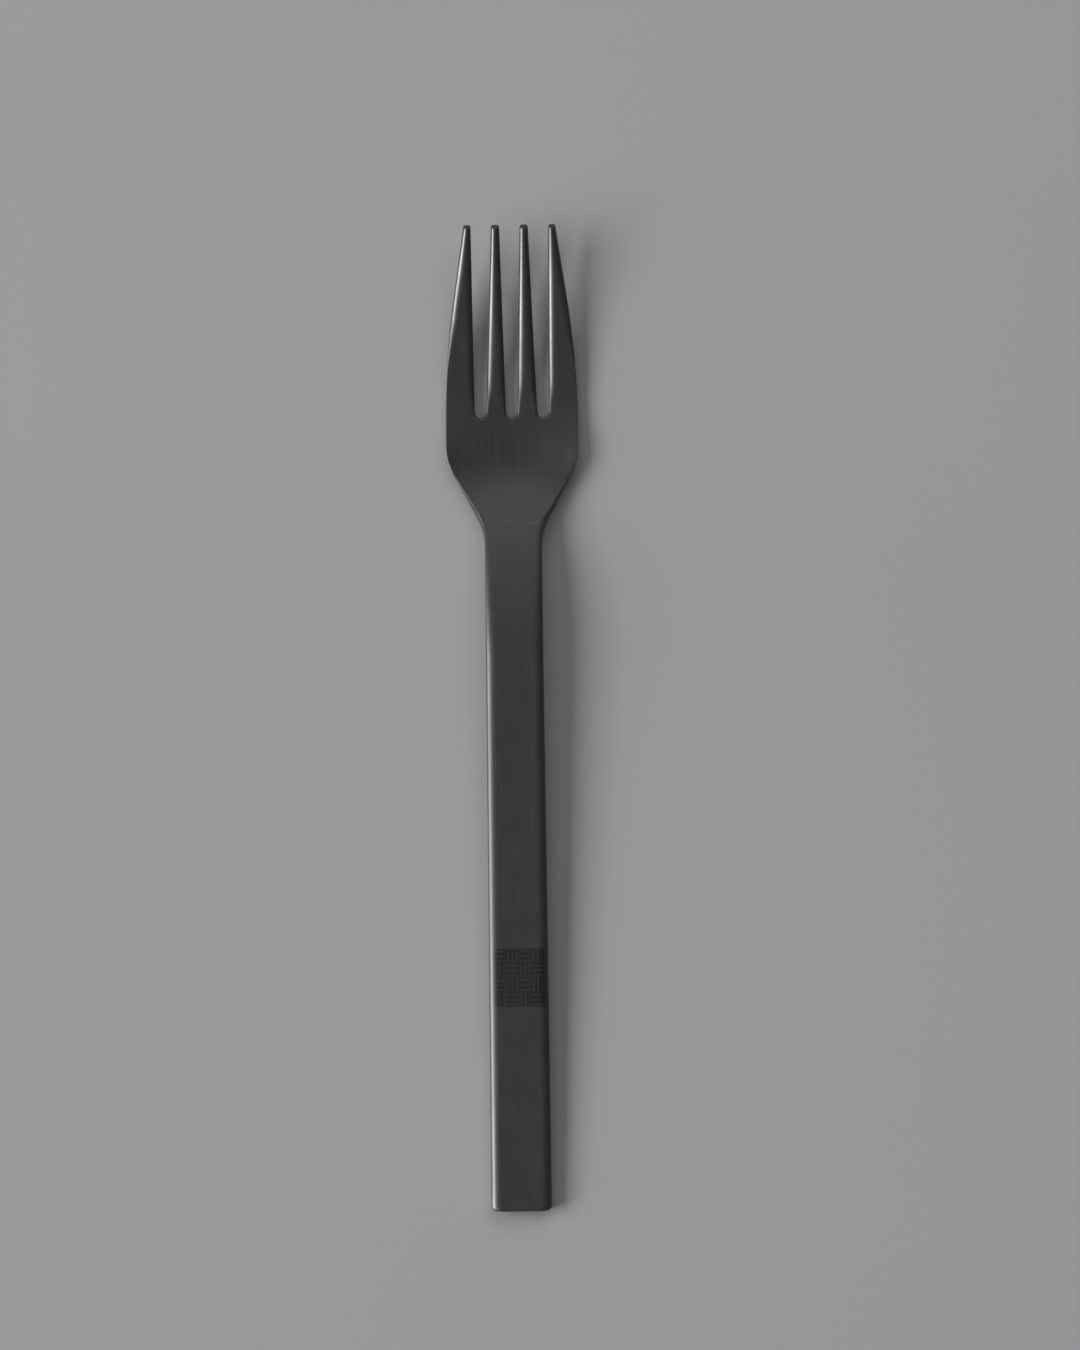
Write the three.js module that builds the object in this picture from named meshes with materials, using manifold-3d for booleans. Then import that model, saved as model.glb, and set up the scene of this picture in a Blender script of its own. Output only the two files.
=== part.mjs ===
// Table fork with four tines: a forged head whose tang is bedded in a hollow bar handle.
// Every piece is laid out flat, as a blank, and then pressed along one side profile.
// Millimetres: x runs across the fork, y from the butt to the tips and z up from the table.
import * as THREE from 'three';
import { mergeVertices } from 'three/addons/utils/BufferGeometryUtils.js';
import Module from 'manifold-3d';

// Lengths along the fork, as seen from above
const handleLength = 139;
const headLength = 61;
const waistSetback = 3.8;
const slotDepth = 38.7;
const tangLength = 32;
const tangRootDepth = 4;

// Handle
const buttWidth = 12.3;
const waistWidth = 11.55;
const buttCornerRadius = 1.2;
const buttEdgeRadius = 0.4;
const handleThickness = 4.6;
const shellWall = 0.6;
const innerEdgeRadius = 0.25;

// Outer edge of the head: neck arc, straight flank, shoulder arc, straight side, then a lean to the tip
const neckRadius = 14;
const shoulderRadius = 12;
const shoulderAngle = THREE.MathUtils.degToRad(30);
const headWidth = 26.8;
const sideStraight = 5.4;
const sideBlend = 12.5;
const tipSpan = 18.55;

// Slots between the tines
const tipPitch = 5.8;
const rootPitch = 6.38;
const slotMouth = 4.06;
const slotRootRadius = 1.2;
const noseLength = 0.8;
const noseSquareness = 3;

// Thickness of the head
const bowlThickness = 2.3;
const tipThickness = 1.9;

// Rounding of the edges, each a quarter ellipse that drops over its width
const handleEdgeWidth = 1.9;
const handleEdgeDrop = 1.1;
const neckEdgeWidth = 1.6;
const neckEdgeDrop = 0.45;
const rimEdgeWidth = 0.6;
const rimEdgeDrop = 0.3;
const tineEdgeWidth = 1.5;
const tineEdgeDrop = 0.9;
const rimEaseFromTips = 29;
const rimEaseLength = 10;

// Tang
const tangWidth = 6.4;
const tangThickness = 1.6;

// Side profile: heights of the middle plane above the table, and how far from the seam they are reached
const crestLength = 27;
const bendHeight = 7.5;
const neckHeight = 3.7;
const hollowLength = 14;
const tipHeight = 11;
const dishDepth = 1.6;
const dishLength = 27;

// Clearances
const seamGap = 0.1;
const weldGap = 0.1;
const beddingGap = 0.15;
const mouthRecess = 1;

// Fineness of the facets
const facetLength = 1.75;
const cornerSteps = 4;
const goreSteps = 3;
const tracePoints = 40;
const mergeDistance = 1e-4;

const steelColour = 0x2f2f30;
const resinColour = 0x8d877b;

const seamY = handleLength;
const tipY = handleLength + headLength;
const noseY = tipY - noseLength;
const rootY = tipY - slotDepth + slotRootRadius;
const bendY = seamY - crestLength;
const bellyY = seamY + hollowLength;
const waistY = seamY - waistSetback;
const { clamp, lerp, smoothstep } = THREE.MathUtils;

const wasm = await Module();
wasm.setup();

// Plan outline

// The right-hand edge of the whole fork, from the butt to the nose of the outer tine.
function outerEdge() {
  const edge = new THREE.Path();
  const buttCentreX = buttWidth / 2 - buttCornerRadius;
  edge.absarc(buttCentreX, buttCornerRadius, buttCornerRadius, -Math.PI / 2, 0, false);

  const neckCentreX = waistWidth / 2 + neckRadius;
  edge.absarc(neckCentreX, waistY, neckRadius, Math.PI, Math.PI - shoulderAngle, true);

  const shoulderCentreX = headWidth / 2 - shoulderRadius;
  const flankEndX = shoulderCentreX + shoulderRadius * Math.cos(shoulderAngle);
  const flankRise = (flankEndX - edge.currentPoint.x) / Math.tan(shoulderAngle);
  const shoulderY = edge.currentPoint.y + flankRise + shoulderRadius * Math.sin(shoulderAngle);
  edge.absarc(shoulderCentreX, shoulderY, shoulderRadius, -shoulderAngle, 0, false);

  const sideY = shoulderY + sideStraight;
  const lean = Math.atan2((headWidth - tipSpan) / 2, tipY - sideY - sideBlend);
  const sideRadius = sideBlend / Math.tan(lean / 2);
  edge.absarc(headWidth / 2 - sideRadius, sideY, sideRadius, 0, lean, false);
  edge.lineTo(tipSpan / 2, tipY);
  return edge.getPoints(tracePoints);
}

const edgePoints = outerEdge();

function halfWidth(y) {
  const next = clamp(edgePoints.findIndex((point) => point.y >= y), 1, edgePoints.length - 1);
  const from = edgePoints[next - 1];
  const to = edgePoints[next];
  return lerp(from.x, to.x, (y - from.y) / (to.y - from.y));
}

// The middle line of a slot, carried on below its root in step with the narrowing bowl.
function slotAxis(slot, y) {
  if (y > rootY) return slot * lerp(rootPitch, tipPitch, (y - rootY) / (noseY - rootY));
  return slot * rootPitch * halfWidth(y) / halfWidth(rootY);
}

function slotHalf(y) {
  if (y > rootY) return lerp(slotRootRadius, slotMouth / 2, (y - rootY) / (noseY - rootY));
  return Math.sqrt(Math.max(0, slotRootRadius ** 2 - (rootY - y) ** 2));
}

// A gore is one tine with its share of the bowl, between two slots or a slot and the outer edge.
const slots = [-1, 0, 1];
const gores = [[-Infinity, -1], [-1, 0], [0, 1], [1, Infinity]];

function goreSide(slot, y, inward) {
  return Number.isFinite(slot) ? slotAxis(slot, y) + inward * slotHalf(y) : Math.sign(slot) * halfWidth(y);
}

function goreSpan([leftSlot, rightSlot], y) {
  const level = Math.min(y, noseY);
  const left = goreSide(leftSlot, level, 1);
  const right = goreSide(rightSlot, level, -1);
  const noseShare = clamp((y - noseY) / noseLength, 0, 1);
  const half = (right - left) / 2;
  return { centre: (left + right) / 2, base: half, half: half * noseProfile(noseShare) };
}

// Share of a tine's width that is left along its blunt nose, which closes in one point
function noseProfile(share) {
  return share > 1 - mergeDistance ? 0 : (1 - share ** noseSquareness) ** (1 / noseSquareness);
}

// How far a point of the head lies from its outer edge, and from the nearest slot or nose
function outerDistance(x, y) {
  const slope = (halfWidth(y + mergeDistance) - halfWidth(y - mergeDistance)) / (2 * mergeDistance);
  return (halfWidth(y) - Math.abs(x)) / Math.hypot(1, slope);
}

function tineDistance(x, y, gore) {
  const toSlots = slots.map((slot) => {
    const aside = Math.abs(x - slotAxis(slot, y));
    return y > rootY ? aside - slotHalf(y) : Math.hypot(aside, rootY - y) - slotRootRadius;
  });
  if (y <= noseY) return Math.min(...toSlots);
  const { centre, base } = goreSpan(gore, y);
  const across = Math.min(1, Math.abs(x - centre) / base);
  const toNose = noseY + noseLength * noseProfile(across) - y;
  const toSide = base * noseProfile((y - noseY) / noseLength) - Math.abs(x - centre);
  return Math.min(...toSlots, toNose, toSide);
}

// Rounded edges

// The outer edge is soft on the handle, nearly sharp round the bowl and rounder again on the tines.
const rimEaseY = tipY - rimEaseFromTips;
const outerRoundings = new THREE.LinearInterpolant(
  [bendY, seamY, bellyY, rimEaseY, rimEaseY + rimEaseLength],
  [
    handleEdgeWidth, handleEdgeDrop,
    neckEdgeWidth, neckEdgeDrop,
    rimEdgeWidth, rimEdgeDrop,
    rimEdgeWidth, rimEdgeDrop,
    tineEdgeWidth, tineEdgeDrop,
  ],
  2,
);

function outerRounding(y) {
  const [width, depth] = outerRoundings.evaluate(y);
  return { width, depth };
}

// How far a rounded edge has dropped at a distance from its outline
function drop(distance, width, depth) {
  const share = 1 - clamp(distance / width, 0, 1);
  return depth * (1 - Math.sqrt(1 - share ** 2));
}

// Solids

function levels(first, last, count) {
  return Array.from({ length: count + 1 }, (_, i) => lerp(first, last, i / count));
}

function stations(first, last) {
  return levels(first, last, Math.ceil((last - first) / facetLength));
}

const turns = levels(0, Math.PI / 2, cornerSteps);
const crestLevels = stations(bendY, seamY);

// Joins the corners that coincide and drops the facets that collapse with them.
function joined(geometry) {
  const bare = new THREE.BufferGeometry();
  bare.setIndex(geometry.index);
  bare.setAttribute('position', geometry.attributes.position);
  const merged = mergeVertices(bare, mergeDistance);
  const kept = [];
  for (let i = 0; i < merged.index.count; i += 3) {
    const corners = [0, 1, 2].map((k) => merged.index.getX(i + k));
    if (new Set(corners).size === 3) kept.push(...corners);
  }
  return merged.setIndex(kept);
}

function solidOf(geometry) {
  const closed = joined(geometry);
  const vertProperties = Float32Array.from(closed.attributes.position.array);
  const triVerts = Uint32Array.from(closed.index.array);
  return new wasm.Manifold(new wasm.Mesh({ numProp: 3, vertProperties, triVerts }));
}

function geometryOf(solid) {
  const mesh = solid.getMesh();
  const geometry = new THREE.BufferGeometry();
  geometry.setAttribute('position', new THREE.BufferAttribute(mesh.vertProperties, 3));
  geometry.setIndex(new THREE.BufferAttribute(mesh.triVerts, 1));
  return geometry;
}

function addQuad(corners, a, b, c, d) {
  corners.push(a, b, c, a, c, d);
}

// A block wider than the head, used to part the shells along their weld.
function block(lowY, highY, lowZ, highZ) {
  const geometry = new THREE.BoxGeometry(2 * headWidth, highY - lowY, highZ - lowZ);
  return solidOf(geometry.translate(0, (lowY + highY) / 2, (lowZ + highZ) / 2));
}

// A loft through closed convex sections, each a list of as many points, with flat ends.
function loft(sections) {
  const corners = [];
  const count = sections[0].length;
  for (let i = 1; i < sections.length; i += 1) {
    for (let k = 0; k < count; k += 1) {
      const next = (k + 1) % count;
      addQuad(corners, sections[i - 1][k], sections[i][k], sections[i][next], sections[i - 1][next]);
    }
  }
  const first = sections[0];
  const last = sections[sections.length - 1];
  for (let k = 2; k < count; k += 1) {
    corners.push(first[0], first[k - 1], first[k], last[0], last[k], last[k - 1]);
  }
  return solidOf(new THREE.BufferGeometry().setFromPoints(corners));
}

// Splits every facet that crosses a level of y, so that the piece can bend there.
function splitAt(corners, level) {
  const split = [];
  for (let i = 0; i < corners.length; i += 3) {
    const triangle = corners.slice(i, i + 3);
    const isCrossed = triangle.some(({ y }) => y < level - mergeDistance)
      && triangle.some(({ y }) => y > level + mergeDistance);
    const sides = isCrossed ? [-1, 1] : [0];
    for (const side of sides) {
      const polygon = [];
      triangle.forEach((from, k) => {
        const to = triangle[(k + 1) % 3];
        if ((from.y - level) * side >= -mergeDistance) polygon.push(from);
        const [low, high] = from.y < to.y ? [from, to] : [to, from];
        if (isCrossed && low.y < level - mergeDistance && high.y > level + mergeDistance) {
          polygon.push(low.clone().lerp(high, (level - low.y) / (high.y - low.y)));
        }
      });
      for (let k = 2; k < polygon.length; k += 1) split.push(polygon[0], polygon[k - 1], polygon[k]);
    }
  }
  return split;
}

// Pressing

// The side profile runs straight up the handle, over the neck, down to the belly and up to the tips.
const butt = new THREE.Vector2(0, handleThickness / 2);
const bend = new THREE.Vector2(bendY, bendHeight);
const neck = new THREE.Vector2(seamY, neckHeight);
const belly = new THREE.Vector2(bellyY, bowlThickness / 2);
const tips = new THREE.Vector2(tipY, tipHeight);
const handleSlope = (bend.y - butt.y) / (bend.x - butt.x);
const sideProfile = [
  new THREE.LineCurve(butt, bend),
  evenArc(bend, bend.y + handleSlope * crestLength / 2, neck),
  evenArc(neck, belly.y, belly),
  evenArc(belly, belly.y, tips),
];
const stretchEnds = [butt.x, bend.x, neck.x, belly.x, tips.x];

// An arc whose control point lies midway, so that y runs evenly along it.
function evenArc(from, controlHeight, to) {
  return new THREE.QuadraticBezierCurve(from, new THREE.Vector2((from.x + to.x) / 2, controlHeight), to);
}

// How far the pressing lifts a point beside the axis: most in the bowl, nothing at the seam or the tines.
function dishLift(x, y) {
  const share = clamp((y - seamY) / dishLength, 0, 1);
  return dishDepth * Math.sin(Math.PI * share) ** 2 * (2 * x / headWidth) ** 2;
}

function press({ x, y, z }) {
  const stretch = stretchEnds.slice(1, -1).filter((end) => y >= end - mergeDistance).length;
  const share = (y - stretchEnds[stretch]) / (stretchEnds[stretch + 1] - stretchEnds[stretch]);
  const middle = sideProfile[stretch].getPoint(share);
  const along = sideProfile[stretch].getTangent(clamp(share, 0, 1));
  return new THREE.Vector3(x, middle.x - along.y * z, middle.y + along.x * z + dishLift(x, y));
}

// The pressed piece, with its long facets split first where the neck bends.
function pressed(name, solid, material) {
  const flat = geometryOf(solid).toNonIndexed().attributes.position;
  const cornerAt = (_, i) => new THREE.Vector3().fromBufferAttribute(flat, i);
  let corners = Array.from({ length: flat.count }, cornerAt);
  for (const level of crestLevels) corners = splitAt(corners, level);
  const geometry = joined(new THREE.BufferGeometry().setFromPoints(corners.map(press)));
  geometry.computeVertexNormals();
  const mesh = new THREE.Mesh(geometry, material);
  mesh.name = name;
  return mesh;
}

// Head

function headThickness(y) {
  const neckToBowl = lerp(handleThickness, bowlThickness, smoothstep(y, seamY, bellyY));
  return lerp(neckToBowl, tipThickness, clamp((y - bellyY) / (tipY - bellyY), 0, 1));
}

// Rows of the head from the seam to the tips. Round the slots' roots they fan out, from the axis to level.
function headStations() {
  const fanRadius = slotRootRadius + tineEdgeWidth;
  const bowl = stations(seamY, rootY - fanRadius).slice(0, -1).map((y) => ({ y, isSlotted: false }));
  const fanY = (fan) => rootY - fanRadius * Math.cos(fan);
  const roots = turns.slice(0, -1).map((fan) => ({ y: fanY(fan), fan, isSlotted: true }));
  const nose = turns.slice(1).map((angle) => noseY + noseLength * Math.sin(angle));
  const tines = [...stations(rootY, noseY), ...nose].map((y) => ({ y, isSlotted: true }));
  return [...bowl, ...roots, ...tines];
}

// Places along a row from one side of a gore inward, close together over the rounding of the edge
function rimPlaces(gore, side, { y, fan, isSlotted }) {
  const slot = gore[side];
  const inward = side === 0 ? 1 : -1;
  const { centre, half } = goreSpan(gore, y);
  if (Number.isFinite(slot) && !isSlotted) return turns.map(() => [slotAxis(slot, y), y]);
  const width = Math.min(Number.isFinite(slot) ? tineEdgeWidth : outerRounding(y).width, half);
  return turns.map((angle) => {
    const offset = width * (1 - Math.cos(angle));
    if (!Number.isFinite(slot) || fan === undefined) return [centre - inward * (half - offset), y];
    const reach = slotRootRadius + offset;
    return [slotAxis(slot, rootY) + inward * reach * Math.sin(fan), rootY - reach * Math.cos(fan)];
  });
}

function goreRow(gore, station) {
  const left = rimPlaces(gore, 0, station);
  const right = rimPlaces(gore, 1, station).reverse();
  const inside = levels(left.at(-1)[0], right[0][0], goreSteps).slice(1, -1).map((x) => [x, station.y]);
  return [...left, ...inside, ...right];
}

function headPoint([x, y], gore, side) {
  const { base } = goreSpan(gore, y);
  const outer = outerRounding(y);
  const atRim = drop(outerDistance(x, y), Math.min(outer.width, base), outer.depth);
  const atTine = drop(tineDistance(x, y, gore), Math.min(tineEdgeWidth, base), tineEdgeDrop);
  return new THREE.Vector3(x, y, side * (headThickness(y) / 2 - Math.max(atRim, atTine)));
}

// Upper and lower faces of one gore, the walls along its free edges and its face at the seam
function addGore(corners, gore) {
  const rows = headStations().map((station) => {
    const places = goreRow(gore, station);
    return {
      isSlotted: station.isSlotted,
      upper: places.map((place) => headPoint(place, gore, 1)),
      lower: places.map((place) => headPoint(place, gore, -1)),
    };
  });
  const last = rows[0].upper.length - 1;
  const isEdgeOf = (slot, row) => row.isSlotted || !Number.isFinite(slot);
  for (let k = 0; k < last; k += 1) {
    addQuad(corners, rows[0].lower[k], rows[0].lower[k + 1], rows[0].upper[k + 1], rows[0].upper[k]);
  }
  for (let i = 1; i < rows.length; i += 1) {
    const near = rows[i - 1];
    const far = rows[i];
    const hasLeftEdge = isEdgeOf(gore[0], near);
    const hasRightEdge = isEdgeOf(gore[1], near);
    const firstColumn = hasLeftEdge ? 0 : cornerSteps;
    const lastColumn = hasRightEdge ? last : last - cornerSteps;
    for (let k = firstColumn; k < lastColumn; k += 1) {
      addQuad(corners, near.upper[k], near.upper[k + 1], far.upper[k + 1], far.upper[k]);
      addQuad(corners, near.lower[k], far.lower[k], far.lower[k + 1], near.lower[k + 1]);
    }
    if (hasLeftEdge) addQuad(corners, near.lower[0], near.upper[0], far.upper[0], far.lower[0]);
    if (hasRightEdge) addQuad(corners, near.upper[last], near.lower[last], far.lower[last], far.upper[last]);
  }
}

function tangOutline(clearance) {
  const radius = tangWidth / 2 + clearance;
  const roundY = seamY - tangLength + tangWidth / 2;
  const outline = new THREE.Shape();
  outline.moveTo(radius, seamY + tangRootDepth);
  outline.lineTo(-radius, seamY + tangRootDepth);
  outline.lineTo(-radius, roundY);
  outline.absarc(0, roundY, radius, Math.PI, 2 * Math.PI, false);
  return outline;
}

function tangBody(clearance) {
  const depth = tangThickness + 2 * clearance;
  const geometry = new THREE.ExtrudeGeometry(tangOutline(clearance), {
    depth,
    bevelEnabled: false,
    curveSegments: cornerSteps,
  });
  return solidOf(geometry.translate(0, 0, -depth / 2));
}

function forkHead() {
  const corners = [];
  for (const gore of gores) addGore(corners, gore);
  const blank = solidOf(new THREE.BufferGeometry().setFromPoints(corners));
  return pressed('fork_head', blank.add(tangBody(0)), coatedSteel());
}

// Handle

function barSection(y, inset) {
  const outer = outerRounding(y);
  const width = Math.max(outer.width - inset, innerEdgeRadius);
  const depth = Math.max(outer.depth - inset, innerEdgeRadius);
  const centreX = halfWidth(y) - inset - width;
  const centreZ = handleThickness / 2 - inset - drop(y - inset, buttEdgeRadius, buttEdgeRadius) - depth;
  const outline = new THREE.Path();
  outline.absellipse(centreX, centreZ, width, depth, 0, Math.PI / 2, false, 0);
  outline.absellipse(-centreX, centreZ, width, depth, Math.PI / 2, Math.PI, false, 0);
  outline.absellipse(-centreX, -centreZ, width, depth, Math.PI, 1.5 * Math.PI, false, 0);
  outline.absellipse(centreX, -centreZ, width, depth, 1.5 * Math.PI, 2 * Math.PI, false, 0);
  return outline.getPoints(cornerSteps / 2).map((point) => new THREE.Vector3(point.x, y, point.y));
}

// The bar inside an inset from its outside, from the butt to a given end.
function bar(inset, endY) {
  const buttStations = turns.map((angle) => inset + buttCornerRadius * (1 - Math.cos(angle)));
  const crestStations = crestLevels.filter((y) => y < endY - mergeDistance);
  return loft([...buttStations, ...crestStations, endY].map((y) => barSection(y, inset)));
}

function handleShell(name, side) {
  const outside = bar(0, seamY - seamGap);
  const inside = bar(shellWall, seamY);
  const weld = side * weldGap / 2;
  const far = side * handleThickness;
  const half = block(-handleLength, tipY, Math.min(weld, far), Math.max(weld, far));
  return pressed(name, outside.subtract(inside).intersect(half), coatedSteel());
}

function handleFiller() {
  const core = bar(shellWall + beddingGap, seamY - mouthRecess);
  return pressed('handle_filler', core.subtract(tangBody(beddingGap)), bondingResin());
}

function coatedSteel() {
  return new THREE.MeshStandardMaterial({ color: steelColour, roughness: 0.55, metalness: 0.7 });
}

function bondingResin() {
  return new THREE.MeshStandardMaterial({ color: resinColour, roughness: 0.95, metalness: 0 });
}

const fork = new THREE.Group();
fork.add(forkHead());
fork.add(handleShell('handle_upper_shell', 1));
fork.add(handleShell('handle_lower_shell', -1));
fork.add(handleFiller());

// Standing on the table, centred over the origin
const box = new THREE.Box3().setFromObject(fork, true);
const centre = box.getCenter(new THREE.Vector3());
fork.position.set(-centre.x, -centre.y, -box.min.z);

export default fork;
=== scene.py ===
"""Looks of the matt black table fork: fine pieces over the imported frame, with floor, light and camera.

Each piece is laid out flat, as a blank, and then pressed along the fork's side profile.
Sizes are in millimetres on the blank: x across, y from the butt to the tips, z up from its middle plane.
Points turn into metres, and move onto the frame, when a piece is made.
"""

import math
from collections import namedtuple

import bmesh
import bpy
import numpy as np
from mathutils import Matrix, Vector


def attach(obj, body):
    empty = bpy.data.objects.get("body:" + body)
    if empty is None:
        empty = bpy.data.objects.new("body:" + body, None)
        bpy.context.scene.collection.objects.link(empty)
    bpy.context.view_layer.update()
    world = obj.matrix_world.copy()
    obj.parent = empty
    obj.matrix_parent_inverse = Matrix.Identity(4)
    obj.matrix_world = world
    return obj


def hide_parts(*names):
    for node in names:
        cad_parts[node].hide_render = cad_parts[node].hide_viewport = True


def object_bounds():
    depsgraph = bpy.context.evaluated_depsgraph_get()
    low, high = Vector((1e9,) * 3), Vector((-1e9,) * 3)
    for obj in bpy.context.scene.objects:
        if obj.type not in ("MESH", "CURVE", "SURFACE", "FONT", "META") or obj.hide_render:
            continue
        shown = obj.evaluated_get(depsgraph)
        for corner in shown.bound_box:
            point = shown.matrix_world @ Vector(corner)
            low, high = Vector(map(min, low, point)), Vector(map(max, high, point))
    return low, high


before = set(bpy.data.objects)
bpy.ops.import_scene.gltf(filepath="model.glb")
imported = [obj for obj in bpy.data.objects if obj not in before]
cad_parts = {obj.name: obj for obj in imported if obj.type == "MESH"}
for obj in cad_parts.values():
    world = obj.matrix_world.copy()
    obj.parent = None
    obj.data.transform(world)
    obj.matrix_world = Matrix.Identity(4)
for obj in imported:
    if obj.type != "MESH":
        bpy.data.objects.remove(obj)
cad_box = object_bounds()

MM = 0.001

# Lengths along the blank
SEAM_Y = 139.0
TIP_Y = 200.0
WAIST_Y = SEAM_Y - 3.8
SLOT_DEPTH = 38.7

# Handle
BUTT_WIDTH = 12.3
WAIST_WIDTH = 11.55
BUTT_CORNER = 1.2
HANDLE_THICKNESS = 4.6
BUTT_EDGE = 0.4
SHELL_WALL = 0.6
INNER_EDGE = 0.25
SEAM_GAP = 0.002

# Outer edge of the head
NECK_RADIUS = 14.0
SHOULDER_RADIUS = 12.0
SHOULDER_ANGLE = 30.0
HEAD_WIDTH = 26.8
SIDE_STRAIGHT = 5.4
SIDE_BLEND = 12.5
TIP_SPAN = 18.55

# Slots and noses of the tines
TIP_PITCH = 5.8
ROOT_PITCH = 6.38
SLOT_MOUTH = 4.06
SLOT_ROOT = 1.2
NOSE_LENGTH = 0.8
NOSE_SQUARENESS = 3
ROOT_Y = TIP_Y - SLOT_DEPTH + SLOT_ROOT
NOSE_Y = TIP_Y - NOSE_LENGTH

# Thickness of the head
BOWL_THICKNESS = 2.3
TIP_THICKNESS = 1.9

# Side profile: heights of the middle plane above the table
BEND_Y = SEAM_Y - 27.0
BEND_HEIGHT = 7.5
NECK_HEIGHT = 3.7
BELLY_Y = SEAM_Y + 14.0
TIP_HEIGHT = 11.0
DISH_DEPTH = 1.6
DISH_LENGTH = 27.0

# Rounding of the edges, as the width and drop of a quarter ellipse
TINE_EDGE = (1.5, 0.9)
ROOT_EDGE = (0.6, 0.3)
RIM_EDGE = (0.2, 0.1)
NECK_EDGE = (1.6, 0.45)
HANDLE_EDGE = (1.9, 1.1)

# Places along the outer edge where the rounding has these sizes. It changes evenly between them.
RIM_START = SEAM_Y + 2.5
RIM_END = TIP_Y - 29.0
TINE_START = TIP_Y - 19.0
EDGE_PLACES = (BEND_Y, SEAM_Y, RIM_START, RIM_END, TINE_START)
EDGE_SIZES = np.array((HANDLE_EDGE, NECK_EDGE, RIM_EDGE, RIM_EDGE, TINE_EDGE))

# Length over which the rounding along a slot grows from its root
ROOT_EASE = 6.0

# Fineness of the meshes
ROW_STEP = 0.5
STRAIGHT_STEP = 4.0
CORNER_STEPS = 10
GORE_STEPS = 8
ARC_STEPS = 96
FLAT_SHARES = (0.97, 0.5, 0, -0.5, -0.97)
MERGE = 1e-4
SHARP_ANGLE = math.radians(50)

# Black coating: dark and light shade, least and greatest roughness, index of refraction
HEAD_FINISH = ((0.042, 0.053), (0.37, 0.45), 1.6)
HANDLE_FINISH = ((0.036, 0.046), (0.43, 0.51), 1.7)
BLUE_SHARE = 1.03

# Grain of the coating: scales of its noise per metre, shares in the tone, and strength and depth of relief
BRUSH_SCALES = (3200, 45, 3200)
SPECK_SCALE = 5200.0
CLOUD_SCALE = 130.0
BRUSH_SHARE = 0.6
TONE_RANGE = (0.3, 0.7)
SPECK_RELIEF = 0.5
STEEL_BUMP = (0.12, 0.00003)

# Painted highlight along the joint at the neck, a lighter line standing in for light caught there: half its
# width, full and faded out, its shade and its breaks
SEAM_HIGHLIGHT_LINE = (0.06, 0.18)
SEAM_HIGHLIGHT_SHADE = 0.075
SEAM_HIGHLIGHT_BREAKS = (0.4, 0.6)

# Dark patch on the handle: ends, half width, soft border and shades, and its weave of strands in cells
PATCH_START = 41.6
PATCH_END = 53.4
PATCH_HALF = 5.2
PATCH_FADE = 0.15
PATCH_SHADES = (0.004, 0.025)
WEAVE_CELLS = 4
WEAVE_STRANDS = 3
GROOVE_RANGE = (0.1, 0.4)

# Bonding resin
RESIN_COLOURS = ((0.23, 0.21, 0.175, 1), (0.31, 0.285, 0.24, 1))
RESIN_ROUGHNESS = (0.8, 0.95)
RESIN_SCALE = 900.0
RESIN_RANGE = (0.35, 0.65)
RESIN_BUMP = (0.3, 0.0001)

# Floor, with its reach in metres, and the dim light from all round
FLOOR_COLOURS = ((0.54, 0.54, 0.55, 1), (0.57, 0.57, 0.58, 1))
FLOOR_ROUGHNESS = 0.8
FLOOR_SCALE = 6.0
FLOOR_REACH = 3.0
SKY_COLOUR = (0.9, 0.95, 1.0, 1)
SKY_STRENGTH = 0.04

# Photograph: the fork's place in a frame of 1080 by 1350 pixels
PHOTO_WIDTH = 1080
PHOTO_HEIGHT = 1350
TIPS_ROW = 226.5
BUTT_ROW = 1212.0
FORK_MIDDLE = (515.6, 719.0)
FORK_LEAN = math.radians(0.73)
LENS = 200.0
SENSOR = 36.0
FOCUS_HEIGHT = 6.0


def smoothstep(value, low, high):
    share = np.clip((value - low) / (high - low), 0, 1)
    return share * share * (3 - 2 * share)


def lerp(low, high, share):
    return low + (high - low) * share


def span(first, last, step):
    return np.linspace(first, last, math.ceil((last - first) / step) + 1)


TURNS = np.linspace(0, math.pi / 2, CORNER_STEPS + 1)


# Plan outline


def arc(centre_x, centre_y, radius, start, end):
    turn = np.radians(np.linspace(start, end, ARC_STEPS))
    return np.column_stack((centre_x + radius * np.cos(turn), centre_y + radius * np.sin(turn)))


def outer_edge():
    """Right-hand edge of the whole fork, from the butt to the tip of the outer tine."""
    slant = math.radians(SHOULDER_ANGLE)
    butt = arc(BUTT_WIDTH / 2 - BUTT_CORNER, BUTT_CORNER, BUTT_CORNER, -90, 0)
    neck = arc(WAIST_WIDTH / 2 + NECK_RADIUS, WAIST_Y, NECK_RADIUS, 180, 180 - SHOULDER_ANGLE)
    shoulder_x = HEAD_WIDTH / 2 - SHOULDER_RADIUS
    flank_end = shoulder_x + SHOULDER_RADIUS * math.cos(slant)
    flank_rise = (flank_end - neck[-1, 0]) / math.tan(slant)
    shoulder_y = neck[-1, 1] + flank_rise + SHOULDER_RADIUS * math.sin(slant)
    shoulder = arc(shoulder_x, shoulder_y, SHOULDER_RADIUS, -SHOULDER_ANGLE, 0)
    side_y = shoulder_y + SIDE_STRAIGHT
    lean = math.atan2((HEAD_WIDTH - TIP_SPAN) / 2, TIP_Y - side_y - SIDE_BLEND)
    side_radius = SIDE_BLEND / math.tan(lean / 2)
    side = arc(HEAD_WIDTH / 2 - side_radius, side_y, side_radius, 0, math.degrees(lean))
    return np.vstack((butt, neck, shoulder, side, [(TIP_SPAN / 2, TIP_Y)]))


EDGE = outer_edge()


def half_width(y):
    return np.interp(y, EDGE[:, 1], EDGE[:, 0])


def slot_axis(slot, y):
    above = lerp(ROOT_PITCH, TIP_PITCH, (y - ROOT_Y) / (NOSE_Y - ROOT_Y))
    below = ROOT_PITCH * half_width(y) / half_width(ROOT_Y)
    return slot * np.where(y > ROOT_Y, above, below)


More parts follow.
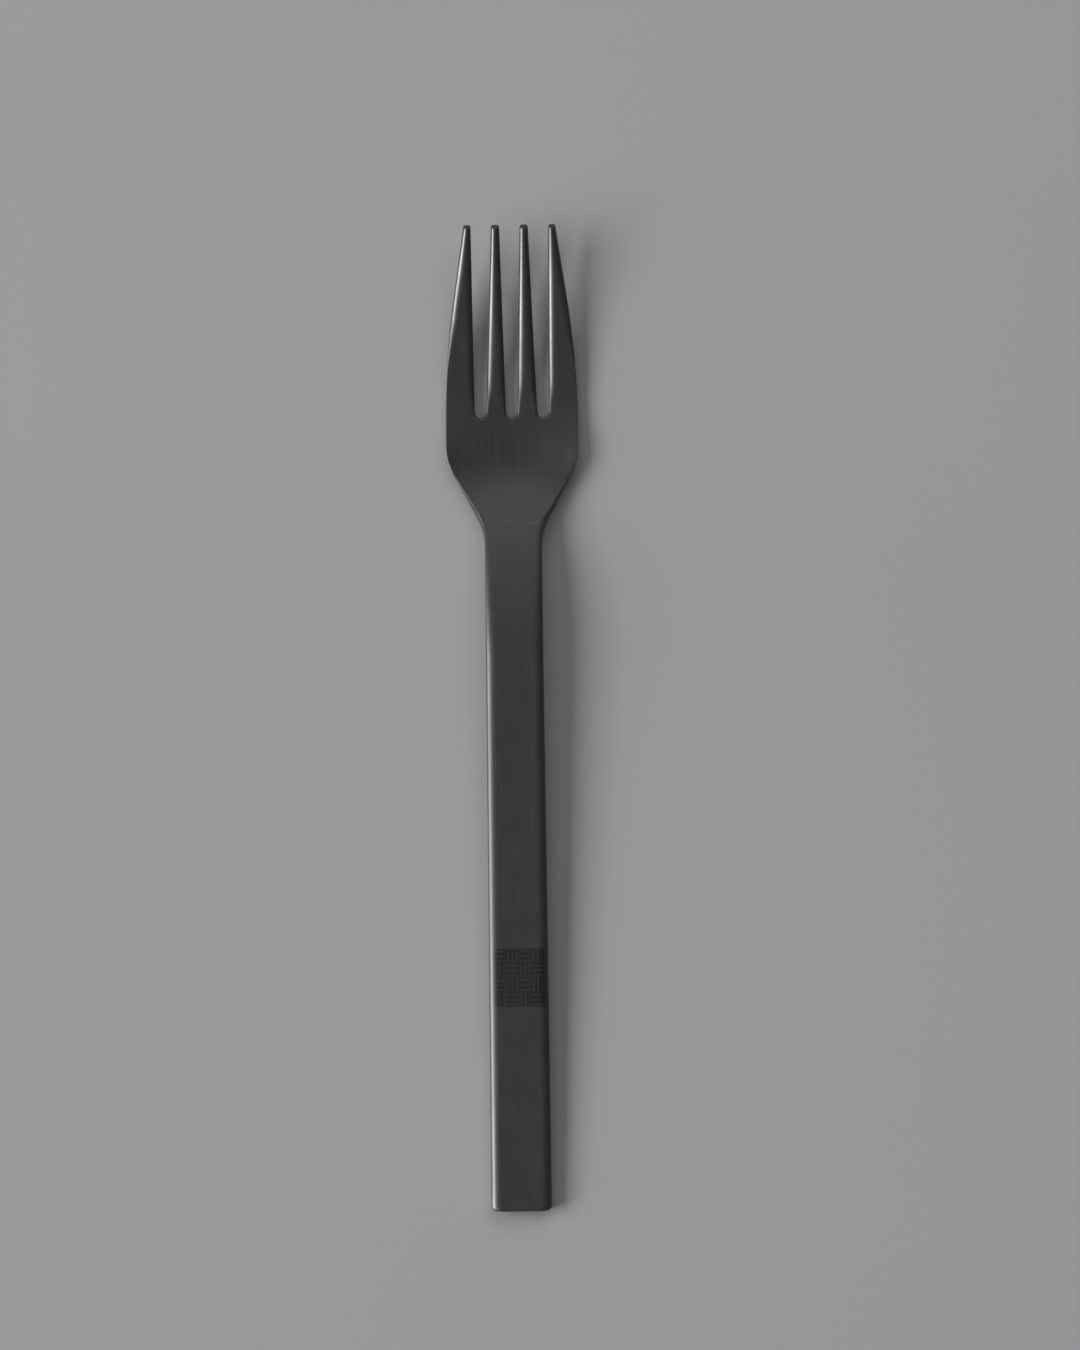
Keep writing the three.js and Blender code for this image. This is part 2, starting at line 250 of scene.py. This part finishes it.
def slot_half(y):
    above = lerp(SLOT_ROOT, SLOT_MOUTH / 2, (y - ROOT_Y) / (NOSE_Y - ROOT_Y))
    below = np.sqrt(np.maximum(0, SLOT_ROOT**2 - (ROOT_Y - y) ** 2))
    return np.where(y > ROOT_Y, above, below)


# A gore is one tine with its share of the bowl, between two slots or a slot and the outer edge.
SLOTS = (-1, 0, 1)
GORES = ((None, -1), (-1, 0), (0, 1), (1, None))


def nose_profile(share):
    """Share of a tine's width that is left along its blunt nose."""
    rest = 1 - np.clip(share, 0, 1) ** NOSE_SQUARENESS
    return np.where(rest < MERGE, 0, np.maximum(rest, 0) ** (1 / NOSE_SQUARENESS))


def gore_span(gore, y):
    """Middle of a gore at y, half its width without the nose's narrowing, and half its width."""
    level = np.minimum(y, NOSE_Y)
    left = -half_width(level) if gore[0] is None else slot_axis(gore[0], level) + slot_half(level)
    right = half_width(level) if gore[1] is None else slot_axis(gore[1], level) - slot_half(level)
    base = (right - left) / 2
    return (left + right) / 2, base, base * nose_profile((y - NOSE_Y) / NOSE_LENGTH)


def edge_width(y):
    return np.interp(y, EDGE_PLACES, EDGE_SIZES[:, 0])


def edge_drop(y):
    return np.interp(y, EDGE_PLACES, EDGE_SIZES[:, 1])


def slot_edge(y):
    """Width and drop of the rounding along a slot, which is finer round the root."""
    share = smoothstep(y, ROOT_Y, ROOT_Y + ROOT_EASE)
    return lerp(ROOT_EDGE[0], TINE_EDGE[0], share), lerp(ROOT_EDGE[1], TINE_EDGE[1], share)


def rounding(distance, width, drop):
    """How far an edge has dropped at a distance from it, along a quarter ellipse."""
    share = 1 - np.clip(distance / width, 0, 1)
    return drop * (1 - np.sqrt(1 - share**2))


def outer_distance(x, y):
    slope = (half_width(y + MERGE) - half_width(y - MERGE)) / (2 * MERGE)
    return (half_width(y) - np.abs(x)) / np.hypot(1, slope)


def tine_distance(x, y, gore):
    """How far a point of the head lies from the nearest slot or nose."""
    distance = np.full_like(x, np.inf)
    for slot in SLOTS:
        aside = np.abs(x - slot_axis(slot, y))
        beside_root = np.hypot(x - slot * ROOT_PITCH, ROOT_Y - y) - SLOT_ROOT
        distance = np.minimum(distance, np.where(y > ROOT_Y, aside - slot_half(y), beside_root))
    centre, base, half = gore_span(gore, y)
    aside = np.abs(x - centre)
    to_nose = NOSE_Y + NOSE_LENGTH * nose_profile(aside / base) - y
    return np.where(y > NOSE_Y, np.minimum(distance, np.minimum(to_nose, half - aside)), distance)


def head_thickness(y):
    neck_to_bowl = lerp(HANDLE_THICKNESS, BOWL_THICKNESS, smoothstep(y, SEAM_Y, BELLY_Y))
    return lerp(neck_to_bowl, TIP_THICKNESS, np.clip((y - BELLY_Y) / (TIP_Y - BELLY_Y), 0, 1))


# Pressing


def profile_heights():
    """Start, control and end height of each stretch of the profile: handle, crest, hollow and rise."""
    butt = HANDLE_THICKNESS / 2
    belly = BOWL_THICKNESS / 2
    crest = BEND_HEIGHT + (BEND_HEIGHT - butt) / BEND_Y * (SEAM_Y - BEND_Y) / 2
    return np.array((
        (butt, (butt + BEND_HEIGHT) / 2, BEND_HEIGHT),
        (BEND_HEIGHT, crest, NECK_HEIGHT),
        (NECK_HEIGHT, belly, belly),
        (belly, belly, TIP_HEIGHT),
    ))


PROFILE_ENDS = np.array((0, BEND_Y, SEAM_Y, BELLY_Y, TIP_Y))
PROFILE_HEIGHTS = profile_heights()


def side_profile(y):
    """Height and slope of the middle plane. Each stretch is a parabola over its length."""
    stretch = np.searchsorted(PROFILE_ENDS[1:-1], y)
    length = PROFILE_ENDS[stretch + 1] - PROFILE_ENDS[stretch]
    t = (y - PROFILE_ENDS[stretch]) / length
    first, control, last = PROFILE_HEIGHTS[stretch].T
    height = first * (1 - t) ** 2 + 2 * control * t * (1 - t) + last * t**2
    slope = 2 / length * ((control - first) * (1 - t) + (last - control) * t)
    return height, slope


def press(points):
    """Points of the blank, bent along the side profile and dished in the bowl."""
    x, y, z = points.T
    height, slope = side_profile(y)
    stretch = np.hypot(1, slope)
    dish_share = np.clip((y - SEAM_Y) / DISH_LENGTH, 0, 1)
    lift = DISH_DEPTH * np.sin(math.pi * dish_share) ** 2 * (2 * x / HEAD_WIDTH) ** 2
    return np.column_stack((x, y - slope / stretch * z, height + z / stretch + lift))


# Meshes


class Blank:
    """Points and faces of one piece, before pressing."""

    def __init__(self):
        self.points = []
        self.faces = []

    def add(self, points):
        """Adds an array of points and returns an array of their numbers, of the same layout."""
        flat = np.reshape(points, (-1, 3))
        first = len(self.points)
        self.points.extend(flat)
        return np.arange(first, first + len(flat)).reshape(np.shape(points)[:-1])

    def grid(self, numbers, flip=False):
        """Quads between the rows and columns of an array of point numbers."""
        corners = (numbers[:-1, :-1], numbers[:-1, 1:], numbers[1:, 1:], numbers[1:, :-1])
        quads = np.stack(corners, axis=-1).reshape(-1, 4)
        self.faces.extend(quads[:, ::-1] if flip else quads)

    def band(self, first, second):
        """Quads between two rows of point numbers."""
        self.grid(np.stack((first, second)))


def add_object(name, data):
    item = bpy.data.objects.new(name, data)
    bpy.context.scene.collection.objects.link(item)
    return item


def make_piece(name, blank, shift):
    points = (press(np.array(blank.points)) + shift) * MM
    mesh = bpy.data.meshes.new(name)
    mesh.from_pydata(points.tolist(), [], [face.tolist() for face in blank.faces])
    work = bmesh.new()
    work.from_mesh(mesh)
    bmesh.ops.remove_doubles(work, verts=work.verts, dist=MERGE * MM)
    bmesh.ops.dissolve_degenerate(work, edges=work.edges, dist=MERGE * MM / 10)
    bmesh.ops.recalc_face_normals(work, faces=work.faces)
    work.to_mesh(mesh)
    work.free()
    mesh.shade_smooth()
    mesh.set_sharp_from_angle(angle=SHARP_ANGLE)
    return add_object(name, mesh)


# Head

# A row of the head: its y, its fan angle round the slots' roots or None, and whether the slots are open
Station = namedtuple("Station", "y fan is_slotted")


def head_stations():
    reach = SLOT_ROOT + ROOT_EDGE[0]
    bowl = [Station(y, None, False) for y in span(SEAM_Y, ROOT_Y - reach, ROW_STEP)[:-1]]
    roots = [Station(ROOT_Y - reach * math.cos(fan), fan, True) for fan in TURNS[:-1]]
    nose = NOSE_Y + NOSE_LENGTH * np.sin(TURNS[1:])
    tines = [Station(y, None, True) for y in (*span(ROOT_Y, NOSE_Y, ROW_STEP), *nose)]
    return bowl + roots + tines


def rim_places(gore, side, station):
    """Places along a row from one side of a gore inward, close together over the edge's rounding."""
    y, fan, is_slotted = station
    slot = gore[side]
    inward = 1 if side == 0 else -1
    centre, _, half = gore_span(gore, y)
    if slot is not None and not is_slotted:
        return [(slot_axis(slot, y), y)] * len(TURNS)
    width = min(edge_width(y) if slot is None else slot_edge(y)[0], half)
    offsets = width * (1 - np.cos(TURNS))
    if slot is None or fan is None:
        return [(centre - inward * (half - offset), y) for offset in offsets]
    reach = SLOT_ROOT + offsets
    xs = slot_axis(slot, ROOT_Y) + inward * reach * math.sin(fan)
    return list(zip(xs, ROOT_Y - reach * math.cos(fan)))


def gore_row(gore, station):
    left = rim_places(gore, 0, station)
    right = rim_places(gore, 1, station)[::-1]
    inside = np.linspace(left[-1][0], right[0][0], GORE_STEPS + 1)[1:-1]
    return left + [(x, station.y) for x in inside] + right


def add_gore(blank, gore):
    stations = head_stations()
    places = np.array([gore_row(gore, station) for station in stations], dtype=float)
    x, y = places[..., 0], places[..., 1]
    _, base, _ = gore_span(gore, y)
    at_rim = rounding(outer_distance(x, y), np.minimum(edge_width(y), base), edge_drop(y))
    slot_width, slot_drop = slot_edge(y)
    at_tine = rounding(tine_distance(x, y, gore), np.minimum(slot_width, base), slot_drop)
    z = head_thickness(y) / 2 - np.maximum(at_rim, at_tine)
    upper = blank.add(np.stack((x, y, z), axis=-1))
    lower = blank.add(np.stack((x, y, -z), axis=-1))
    opens = [station.is_slotted for station in stations].index(True)
    inner = slice(
        0 if gore[0] is None else CORNER_STEPS,
        None if gore[1] is None else -CORNER_STEPS,
    )
    blank.grid(upper[: opens + 1, inner])
    blank.grid(lower[: opens + 1, inner], flip=True)
    blank.grid(upper[opens:])
    blank.grid(lower[opens:], flip=True)
    blank.band(lower[0], upper[0])
    for side, column in ((0, 0), (1, -1)):
        first = 0 if gore[side] is None else opens
        blank.band(upper[first:, column], lower[first:, column])


def head_blank():
    blank = Blank()
    for gore in GORES:
        add_gore(blank, gore)
    return blank


# Handle


def bar_section(y, inset, side):
    """Half of the bar's section at y, from its right-hand weld over the flat to its left-hand weld."""
    width = max(edge_width(y) - inset, INNER_EDGE)
    drop = max(edge_drop(y) - inset, INNER_EDGE)
    centre_x = half_width(y) - inset - width
    top = HANDLE_THICKNESS / 2 - inset - rounding(y - inset, BUTT_EDGE, BUTT_EDGE)
    corner = np.column_stack((centre_x + width * np.cos(TURNS), top - drop * (1 - np.sin(TURNS))))
    weld = [(centre_x + width, 0)]
    flat = [(share * centre_x, top) for share in FLAT_SHARES]
    outline = np.vstack((weld, corner, flat, corner[::-1] * (-1, 1), [(-centre_x - width, 0)]))
    return np.column_stack((outline[:, 0], np.full(len(outline), y), side * outline[:, 1]))


def shell_blank(side):
    """One pressed half of the handle: an open tray with a wall of even thickness."""
    butt = BUTT_CORNER * (1 - np.cos(TURNS))
    straight = span(BUTT_CORNER, BEND_Y, STRAIGHT_STEP)[1:]
    neck = span(BEND_Y, SEAM_Y - SEAM_GAP, ROW_STEP)[1:]
    blank = Blank()
    skins = []
    for inset in (0, SHELL_WALL):
        ys = np.concatenate((butt + inset, straight, neck))
        skins.append(blank.add(np.stack([bar_section(y, inset, side) for y in ys])))
    outside, inside = skins
    middle = outside.shape[1] // 2
    for skin in skins:
        blank.grid(skin)
        blank.band(skin[0, : middle + 1], skin[0, : middle - 1 : -1])
    blank.band(outside[:, 0], inside[:, 0])
    blank.band(outside[:, -1], inside[:, -1])
    blank.band(outside[-1], inside[-1])
    blank.faces.append(np.array((outside[0, 0], outside[0, -1], inside[0, -1], inside[0, 0])))
    return blank


# Materials


class Nodes:
    """A material's node tree, with short calls to add and join nodes."""

    def __init__(self, name):
        self.material = bpy.data.materials.new(name)
        self.material.use_nodes = True
        self.tree = self.material.node_tree
        self.shader = self.tree.nodes["Principled BSDF"]
        self.place = self.add("TexCoord").outputs["Object"]

    def add(self, kind, settings=(), **inputs):
        node = self.tree.nodes.new("ShaderNode" + kind)
        for key, value in dict(settings).items():
            setattr(node, key, value)
        for key, value in inputs.items():
            self.put(node.inputs[key], value)
        return node

    def put(self, socket, value):
        if isinstance(value, bpy.types.NodeSocket):
            self.tree.links.new(value, socket)
        else:
            socket.default_value = value

    def math(self, operation, first, second=0.0):
        node = self.add("Math", {"operation": operation})
        self.put(node.inputs[0], first)
        self.put(node.inputs[1], second)
        return node.outputs[0]

    def ramp(self, value, from_low, from_high, to_low, to_high, smooth=False):
        kind = "SMOOTHSTEP" if smooth else "LINEAR"
        node = self.add("MapRange", {"interpolation_type": kind}, Value=value)
        for socket, number in zip(list(node.inputs)[1:5], (from_low, from_high, to_low, to_high)):
            self.put(socket, number)
        return node.outputs[0]

    def noise(self, scale, detail, stretch=(1, 1, 1)):
        mapping = self.add("Mapping", Vector=self.place, Scale=stretch)
        node = self.add("TexNoise", Vector=mapping.outputs[0], Scale=scale, Detail=detail)
        return node.outputs["Fac"]

    def mix(self, share, first, second):
        node = self.add("Mix", {"data_type": "RGBA"})
        self.put(node.inputs["Factor"], share)
        self.put(node.inputs[6], first)
        self.put(node.inputs[7], second)
        return node.outputs[2]

    def bump(self, height, strength, distance):
        return self.add("Bump", Strength=strength, Distance=distance, Height=height).outputs[0]

    def finish(self, inputs):
        """Sets inputs of the shader by their names, and returns the material."""
        for key, value in inputs.items():
            self.put(self.shader.inputs[key], value)
        return self.material


def grey(level):
    return (level, level, level * BLUE_SHARE, 1)


def patch_mask(nodes, across, along, low, high):
    """One on the patch and nothing beyond its soft border."""
    half = PATCH_HALF * MM
    fade = PATCH_FADE * MM
    inside = nodes.ramp(nodes.math("ABSOLUTE", across), half - fade, half + fade, 1, 0, True)
    after = nodes.ramp(along, low - fade, low + fade, 0, 1, True)
    before = nodes.ramp(along, high - fade, high + fade, 1, 0, True)
    return nodes.math("MULTIPLY", inside, nodes.math("MULTIPLY", after, before))


def basket_weave(nodes, across, along, low, high):
    """Colour of the patch: cells whose strands run along the fork and across it by turns."""
    half = PATCH_HALF * MM
    column = nodes.ramp(across, -half, half, 0, WEAVE_CELLS)
    row = nodes.ramp(along, low, high, 0, WEAVE_CELLS)
    cell = nodes.math("ADD", nodes.math("FLOOR", column), nodes.math("FLOOR", row))
    is_crosswise = nodes.math("MODULO", cell, 2)
    turn = nodes.math("MULTIPLY", is_crosswise, nodes.math("SUBTRACT", row, column))
    strands = nodes.math("MULTIPLY", nodes.math("ADD", column, turn), WEAVE_STRANDS)
    ridge = nodes.math("PINGPONG", strands, 0.5)
    return nodes.mix(nodes.ramp(ridge, *GROOVE_RANGE, 0, 1), *map(grey, PATCH_SHADES))


def black_steel(name, seam, finish, patch=None):
    """Matt black coating on brushed steel, with a painted highlight along the seam, and a patch from one y
    to another.
    """
    shades, roughness, refraction = finish
    nodes = Nodes(name)
    brush = nodes.noise(1.0, detail=3.0, stretch=BRUSH_SCALES)
    speck = nodes.noise(SPECK_SCALE, detail=1.0)
    cloud = nodes.noise(CLOUD_SCALE, detail=3.0)
    brush_tone = nodes.math("MULTIPLY", brush, BRUSH_SHARE)
    tone = nodes.math("ADD", brush_tone, nodes.math("MULTIPLY", cloud, 1 - BRUSH_SHARE))
    colour = nodes.mix(nodes.ramp(tone, *TONE_RANGE, 0, 1), *map(grey, shades))
    across, along, _ = nodes.add("SeparateXYZ", Vector=nodes.place).outputs
    from_seam = nodes.math("ABSOLUTE", nodes.math("SUBTRACT", along, seam))
    # Painted highlight: a lighter line along the joint at the neck, broken up by the cloud noise
    seam_highlight_mask = nodes.ramp(from_seam, SEAM_HIGHLIGHT_LINE[0] * MM, SEAM_HIGHLIGHT_LINE[1] * MM, 1, 0)
    seam_highlight = nodes.math("MULTIPLY", seam_highlight_mask, nodes.ramp(cloud, *SEAM_HIGHLIGHT_BREAKS, 0, 1))
    colour = nodes.mix(seam_highlight, colour, grey(SEAM_HIGHLIGHT_SHADE))
    if patch is not None:
        mask = patch_mask(nodes, across, along, *patch)
        colour = nodes.mix(mask, colour, basket_weave(nodes, across, along, *patch))
    relief = nodes.math("ADD", brush, nodes.math("MULTIPLY", speck, SPECK_RELIEF))
    return nodes.finish({
        "Base Color": colour,
        "Roughness": nodes.ramp(tone, *TONE_RANGE, *roughness),
        "Metallic": 0.0,
        "IOR": refraction,
        "Normal": nodes.bump(relief, *STEEL_BUMP),
    })


def bonding_resin():
    nodes = Nodes("bonding_resin")
    grain = nodes.noise(RESIN_SCALE, detail=3.0)
    return nodes.finish({
        "Base Color": nodes.mix(nodes.ramp(grain, *RESIN_RANGE, 0, 1), *RESIN_COLOURS),
        "Roughness": nodes.ramp(grain, *RESIN_RANGE, *RESIN_ROUGHNESS),
        "Normal": nodes.bump(grain, *RESIN_BUMP),
    })


def floor_paint():
    nodes = Nodes("floor_paint")
    cloud = nodes.noise(FLOOR_SCALE, detail=3.0)
    return nodes.finish({
        "Base Color": nodes.mix(cloud, *FLOOR_COLOURS),
        "Roughness": FLOOR_ROUGHNESS,
    })


# Pieces

blanks = {
    "head": head_blank(),
    "handle_upper": shell_blank(1),
    "handle_lower": shell_blank(-1),
}
pressed = np.vstack([press(np.array(blank.points)) for blank in blanks.values()])
low, high = pressed.min(axis=0), pressed.max(axis=0)
cad_low, cad_high = np.array(cad_box[0]) / MM, np.array(cad_box[1]) / MM
shift = (cad_low + cad_high - low - high) / 2
shift[2] = cad_low[2] - low[2]

seam_top = press(np.array([(0, SEAM_Y, HANDLE_THICKNESS / 2)]))[0]
seam = (seam_top[1] + shift[1]) * MM
patch = ((PATCH_START + shift[1]) * MM, (PATCH_END + shift[1]) * MM)
looks = {
    "head": ("fork_head", black_steel("black_steel_head", seam, HEAD_FINISH)),
    "handle_upper": ("handle_upper_shell", black_steel("black_steel_upper", seam, HANDLE_FINISH, patch)),
    "handle_lower": ("handle_lower_shell", black_steel("black_steel_lower", seam, HANDLE_FINISH)),
}
for name, (node, material) in looks.items():
    piece = make_piece(name, blanks[name], shift)
    piece.data.materials.append(material)
    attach(piece, "root")
    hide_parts(node)

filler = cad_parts["handle_filler"]
filler.data.materials.clear()
filler.data.materials.append(bonding_resin())

# Floor

floor_mesh = bpy.data.meshes.new("floor")
corners = [(x * FLOOR_REACH, y * FLOOR_REACH, 0) for x, y in ((-1, -1), (1, -1), (1, 1), (-1, 1))]
floor_mesh.from_pydata(corners, [], [(0, 1, 2, 3)])
floor = add_object("floor", floor_mesh)
floor.data.materials.append(floor_paint())

# Light: window and ceiling light the floor and the coating, and the glints draw the bright edges and neck


def area_light(name, place, size, power, diffuse=True, glossy=True):
    """A soft rectangular light aimed at the middle of the fork, with sizes in metres and power in watts."""
    light = bpy.data.lights.new(name, "AREA")
    light.shape = "RECTANGLE"
    light.size, light.size_y = size
    light.energy = power
    lamp = add_object(name, light)
    lamp.location = place
    x, y, z = place
    lamp.rotation_euler = (math.atan2(math.hypot(x, y), z), 0, math.atan2(x, -y))
    lamp.visible_diffuse = diffuse
    lamp.visible_glossy = glossy


area_light("window", place=(-2.95, 0.0, 2.7), size=(2.8, 2.2), power=90.0, glossy=False)
area_light("ceiling", place=(0.5, 3.5, 5.0), size=(5.0, 5.0), power=90.0, glossy=False)
area_light("edge_glint", place=(-3.554, -1.224, 1.368), size=(0.98, 1.63), power=300.0, diffuse=False)
area_light("neck_glint", place=(0.0, 0.85, 0.8), size=(1.4, 0.6), power=2.5, diffuse=False)

world = bpy.data.worlds.new("studio")
world.use_nodes = True
background = world.node_tree.nodes["Background"]
background.inputs["Color"].default_value = SKY_COLOUR
background.inputs["Strength"].default_value = SKY_STRENGTH
bpy.context.scene.world = world

# Camera: straight above, turned by the fork's lean in the photograph

pixel = (TIP_Y / (BUTT_ROW - TIPS_ROW)) * MM
aside = (PHOTO_WIDTH / 2 - FORK_MIDDLE[0]) * pixel
ahead = (FORK_MIDDLE[1] - PHOTO_HEIGHT / 2) * pixel
camera_data = bpy.data.cameras.new("camera")
camera_data.sensor_width = SENSOR
camera_data.lens = LENS
camera = add_object("camera", camera_data)
camera.location = (
    aside * math.cos(FORK_LEAN) + ahead * math.sin(FORK_LEAN),
    ahead * math.cos(FORK_LEAN) - aside * math.sin(FORK_LEAN),
    PHOTO_HEIGHT * pixel * LENS / SENSOR + FOCUS_HEIGHT * MM,
)
camera.rotation_euler = (0, 0, -FORK_LEAN)
bpy.context.scene.camera = camera
bpy.context.scene.view_settings.view_transform = "Standard"
